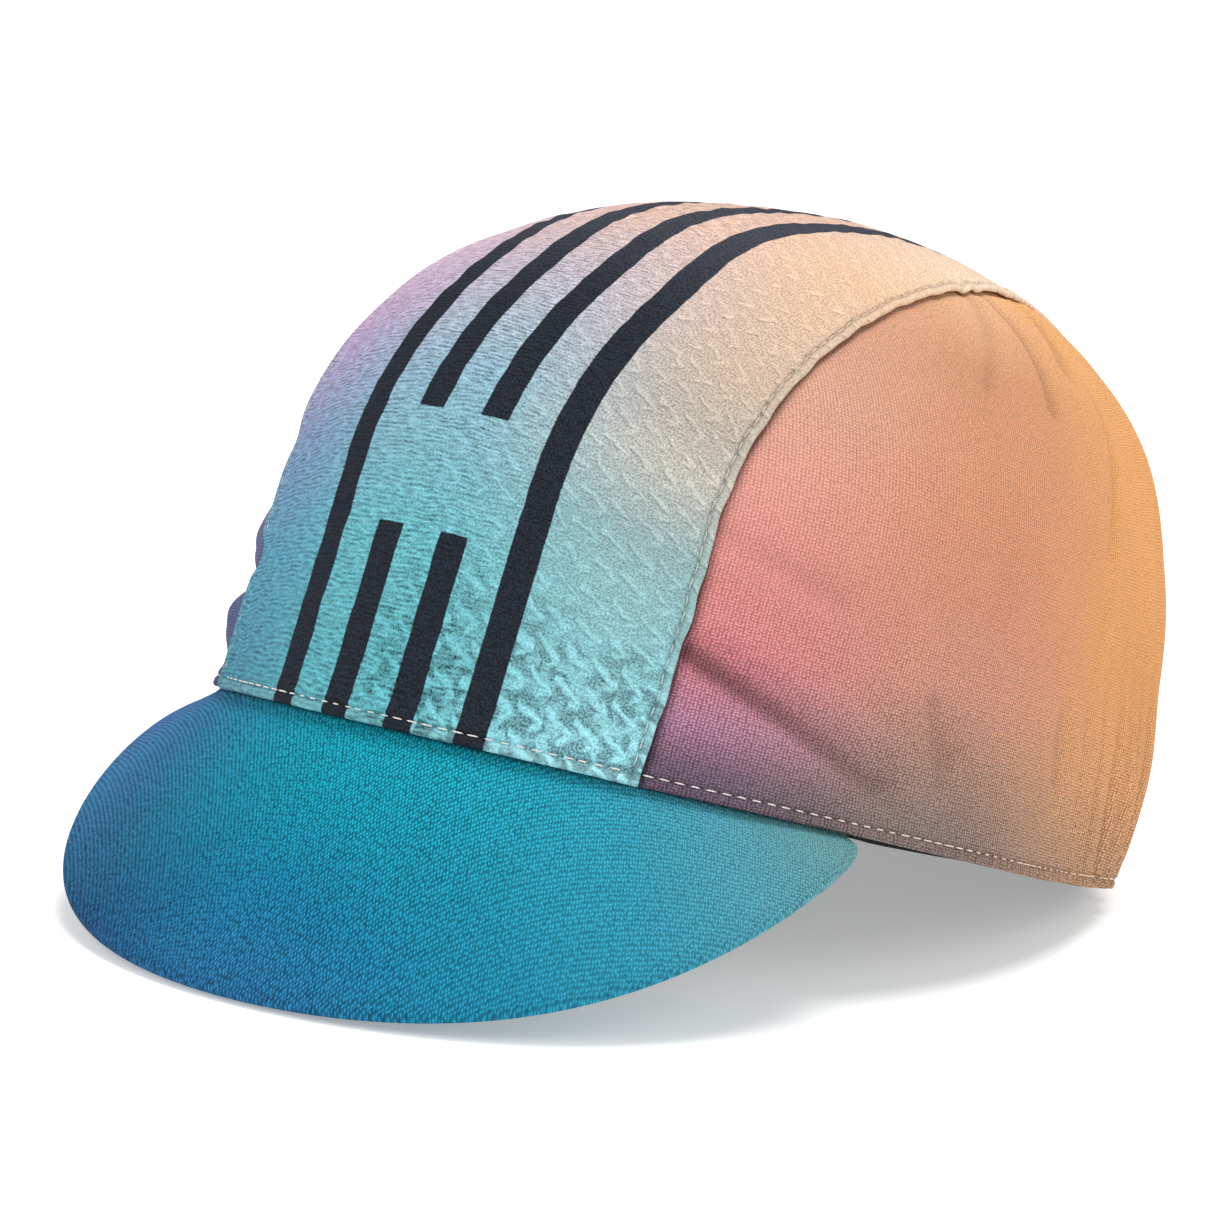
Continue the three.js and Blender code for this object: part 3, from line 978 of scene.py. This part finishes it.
def side_cloth_finish(name, ramps):
    """The knit of a side panel, whose wales draw together towards the top."""
    finish = Finish(name, 0.9)
    colour = printed(finish, ramps, (58, 112), (112, 190))
    colour = finish.blend(finish.inside, colour, underside_print)
    contrast = finish.along.fading(8, 50) * 0.6 + 0.6
    risen = (finish.along - crown.widest_height) * (1 / side_scale.up)
    narrowed = risen.through("MAXIMUM", 0.0).through("COSINE")
    finish.across = (finish.across - side_scale.middle) * narrowed
    finish.place = finish.node("CombineXYZ", {0: finish.across, 1: finish.along})[0]
    return finish.done(*knit(finish, colour, (0.74, 0.54), 0, contrast * 0.93, wales=0.1))


def stripes(finish):
    """1 on the printed stripes and 0 beside them: the inner two stop short at a bare place."""
    aslant = finish.along.between(86, 128) * 4.2
    wavy = finish.across + aslant + finish.drift(0.5, 0.35, seed=4.0)
    reach = stripe.spacing * 2
    nearest = ((wavy + reach).through("MODULO", stripe.spacing) - stripe.spacing / 2).through("ABSOLUTE")
    ink = nearest.fading(stripe.half - stripe.soft, stripe.half + stripe.soft)
    aside = wavy.through("ABSOLUTE")
    ink = ink * aside.fading(reach - 0.1, reach)
    inner = aside.fading(stripe.spacing - 0.1, stripe.spacing)
    worn = finish.along + finish.drift(0.6, 0.3, seed=5.0)
    starts = worn.between(stripe.bare_start, stripe.bare_start + stripe.bare_soft)
    bare = starts * worn.fading(stripe.bare_end - stripe.bare_soft, stripe.bare_end)
    return ink * (inner * bare * -1 + 1)


def jacquard(finish):
    """The raised strokes of the centre knit: long ones that fall, with short ones hooked back."""
    across = finish.across + finish.drift(0.24, 3.4, seed=6.0)
    along = finish.along + finish.drift(0.24, 3.4, seed=16.0)
    column = (across * (1 / stroke.wide)).through("FRACT")
    row = along + across * 0.09
    falling = row + column * stroke.fall
    hooked = row - column * stroke.hook + (stroke.hook + stroke.fall)
    lines = (line.through("PINGPONG", stroke.tall / 2) for line in (falling, hooked))
    first, second = (line.fading(0.1, 1.2) for line in lines)
    high = finish.along.between(55, 105)
    first = first * (high * -0.5 + 1)
    second = second * column.between(0.42, 0.68) * (high * 0.4 + 0.7)
    broken = finish.noise(0.35, seed=26.0).between(0.25, 0.5) * 0.6 + 0.4
    return first.through("MAXIMUM", second) * broken * (finish.across.between(-14, 18) * 0.7 + 0.3)


def centre_gradient(finish):
    """The print of the centre panel."""
    return printed(finish, (centre_left, centre_middle, centre_right), (-44, -6), (0, 44))


def sheer_cells(finish, strokes):
    """Darker see-through cells between the strokes near the hem, on the right, from 0 to 1."""
    thin = finish.drift(0.16, 30, seed=8.0) + finish.along
    sheer = thin.fading(10, 30) * finish.across.between(-16, 12)
    patchy = finish.noise(0.32, seed=28.0).between(0.38, 0.54)
    return sheer * patchy * strokes.fading(0.05, 0.5)


def crepe_ridges(finish):
    """Fine wavy ridges across the centre panel, strongest on its left, about between -0.5 and 0.5."""
    wander = finish.noise(0.12, 1.0, seed=10.0) * 2.6
    shown = finish.noise(0.6, stretch=(0.35, 1), seed=11.0).between(0.35, 0.6)
    waves = (finish.along + wander).wave(0.85) * 0.4 * shown
    streaks = finish.noise(1.5, 1.0, stretch=(0.3, 1), seed=13.0).between(0.3, 0.7) - 0.5
    return (waves + streaks * 0.7) * (finish.across.between(0, 32) * -0.8 + 1)


def centre_cloth_finish(name):
    """The textured cloth of the centre panel, with its print and its stripes."""
    finish = Finish(name, 0.9)
    strokes = jacquard(finish)
    speckle = finish.noise(2.6, 1.0, seed=7.0).between(0.3, 0.7) - 0.5
    crepe = crepe_ridges(finish)
    holes = sheer_cells(finish, strokes)
    rolled = finish.edge.fading(1.5, 2.0)
    speckle = speckle * (finish.across.between(-30, 10) * 0.2 + 0.45) * (rolled * -0.4 + 1)
    brightness = strokes * 0.27 + speckle * 0.9 + crepe * 0.6 - holes * 0.42 + 0.94
    print_colour = finish.blend(rolled * 0.12, centre_gradient(finish), seam_colour)
    cloth_colour = finish.shade(print_colour, brightness)
    # Painted sheen on the stripes towards the top.
    ink_colour = finish.blend(finish.along.between(75, 130), stripe_colour, stripe_painted_sheen_colour)
    ink = finish.shade(ink_colour, speckle * 1.8 + crepe * 0.5 + 1)
    colour = finish.blend(stripes(finish), cloth_colour, ink)
    colour = finish.blend(finish.inside, colour, underside_print)
    # Painted shade along the seam and hem stitch lines.
    colour = finish.shade(colour, finish.painted_shade * -0.6 + 1)
    return finish.done(colour, strokes * 0.5 + speckle * 0.08 + crepe * 0.25 - holes * 0.1)


def peak_cloth_finish(name):
    """The knit of the peak, whose nubs lie aslant and fade to the right."""
    finish = Finish(name, 0.85, gloss=0.08)
    colour = printed(finish, (peak_left, peak_middle, peak_right), (-60, 0), (5, 75))
    contrast = finish.across.between(10, 70) * -0.55 + 1.5
    return finish.done(*knit(finish, colour, (0.54, 0.54), 45, contrast))


def band_finish(name):
    """Dark towelling with soft ribs."""
    finish = Finish(name, 0.95)
    ribs = finish.across.wave(1.3)
    loops = finish.noise(1.6, 4.0, seed=1.0)
    colour = finish.ramp(loops, [(0.3, "#0d0e10"), (0.7, "#26282c")])
    return finish.done(finish.shade(colour, ribs * 0.2 + 1), ribs * 0.12 + loops * 0.4)


def thread_finish(name, dyed=False):
    """Twisted thread, with its ply in short slanted lines and painted shade in their grooves, pale or near
    the print around it.
    """
    finish = Finish(name, 0.75)
    inputs = {"Vector": finish.object_place(), "Scale": 900, "Distortion": 1.5}
    ply = Signal(finish.node("TexWave", inputs, bands_direction="DIAGONAL")["Fac"])
    # The ply's darker lines are painted shade in the grooves of the twist.
    colour = finish.blend(ply, "#c4bcb6", "#eee8e2")
    if dyed:
        colour = finish.blend(finish.across.between(-30, 30) * 0.4 + 0.15, colour, centre_gradient(finish))
    else:
        beside = finish.across.through("ABSOLUTE").between(60, 150)
        colour = finish.blend(beside * 0.75, colour, "#dcbca2")
    return finish.done(colour, ply * 0.05)


def floor_finish():
    """Pale paper that gives off a little light."""
    finish = Finish("floor_paper", 0.9)
    uneven = Signal(finish.node("TexNoise", {"Vector": finish.object_place(), "Scale": 3})[0])
    colour = finish.blend(uneven, "#f3f3f2", "#f6f6f5")
    finish.shader.inputs["Emission Color"].default_value = (1, 1, 1, 1)
    finish.shader.inputs["Emission Strength"].default_value = 0.3
    return finish.done(colour, uneven * 0.01)


def make_camera():
    """The camera, placed and aimed as the photograph was taken."""
    azimuth, elevation, roll = (angle * DEGREE for angle in (view.azimuth, view.elevation, view.roll))
    out = math.cos(elevation)
    back = Vector((math.sin(azimuth) * out, -math.cos(azimuth) * out, math.sin(elevation)))
    level = Vector((math.cos(azimuth), math.sin(azimuth), 0))
    upright = back.cross(level)
    right = level * math.cos(roll) + upright * math.sin(roll)
    up = back.cross(right)
    data = bpy.data.cameras.new("camera")
    data.sensor_width = view.sensor
    data.lens = view.sensor * view.focal_pixels / view.image
    data.shift_x = 0.5 - view.target_pixel[0] / view.image
    data.shift_y = view.target_pixel[1] / view.image - 0.5
    data.clip_start = 0.05
    data.clip_end = 50
    camera = bpy.data.objects.new("camera", data)
    turn = Matrix((right, up, back)).transposed()
    camera.matrix_world = Matrix.Translation(Vector(view.target) + back * view.distance) @ turn.to_4x4()
    bpy.context.collection.objects.link(camera)
    bpy.context.scene.camera = camera


def add_light(name, place, softness, strength):
    """A soft light that falls evenly from the side of this place."""
    data = bpy.data.lights.new(name, "SUN")
    data.angle = softness * DEGREE
    data.energy = strength
    light = bpy.data.objects.new(name, data)
    light.location = place
    light.rotation_euler = Vector(place).to_track_quat("Z", "Y").to_euler()
    bpy.context.collection.objects.link(light)


def make_studio():
    """A pale floor, a pale sky and soft lights."""
    floor_size = 14
    bpy.ops.mesh.primitive_grid_add(x_subdivisions=8, y_subdivisions=8, size=floor_size)
    floor = bpy.context.object
    floor.name = "floor"
    floor.data.materials.append(floor_finish())
    world = bpy.data.worlds.new("studio")
    world.use_nodes = True
    sky = world.node_tree.nodes["Background"]
    sky.inputs["Color"].default_value = (1, 1, 1, 1)
    sky.inputs["Strength"].default_value = 0.45
    bpy.context.scene.world = world
    add_light("top_light", (0.2, 0.2, 1.8), 30, 1.9)
    add_light("front_light", (-0.6, -1.3, 0.8), 50, 1.2)
    add_light("side_light", (1.6, 0.3, 0.8), 50, 1.1)
    bpy.context.scene.view_settings.view_transform = "Standard"
    bpy.context.scene.view_settings.look = "None"


def dress(piece, material, slot, *nodes):
    """Give a piece its material, and hide the solids that it takes the place of. The slot is not used."""
    piece.data.materials.append(material)
    if nodes:
        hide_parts(*nodes)


def make_cap():
    """All the pieces of the cap, each in place of its plain solid."""
    centre = make_sheet("centre_cloth", *centre_sheet())
    dress(centre, centre_cloth_finish("centre_knit"), "centre_cloth", "crown_centre_panel")
    near_knit = side_cloth_finish("side_knit_left", (side_front, side_middle, side_back))
    far_knit = side_cloth_finish("side_knit_right", (far_front, far_middle, side_back))
    left = make_sheet("side_cloth_left", *side_sheet(1))
    dress(left, near_knit, "side_cloth", "crown_side_panel_left")
    right = make_sheet("side_cloth_right", *side_sheet(-1))
    dress(right, far_knit, "side_cloth", "crown_side_panel_right")
    cover = make_sheet("peak_cover", *peak_sheet())
    dress(cover, peak_cloth_finish("peak_knit"), "peak_cloth", "peak")
    sweatband = make_sheet("sweatband_cloth", *band_sheet(), closed=True)
    dress(sweatband, band_finish("towelling"), "band_cloth", "sweatband")
    hem = hem_stitches()
    dress(hem, thread_finish("hem_thread"), "centre_cloth")
    seams = [seam_stitches(1, "seam_stitches_left"), seam_stitches(-1, "seam_stitches_right")]
    seam_thread = thread_finish("seam_thread", dyed=True)
    for row in seams:
        dress(row, seam_thread, "centre_cloth")


make_camera()
make_studio()
make_cap()
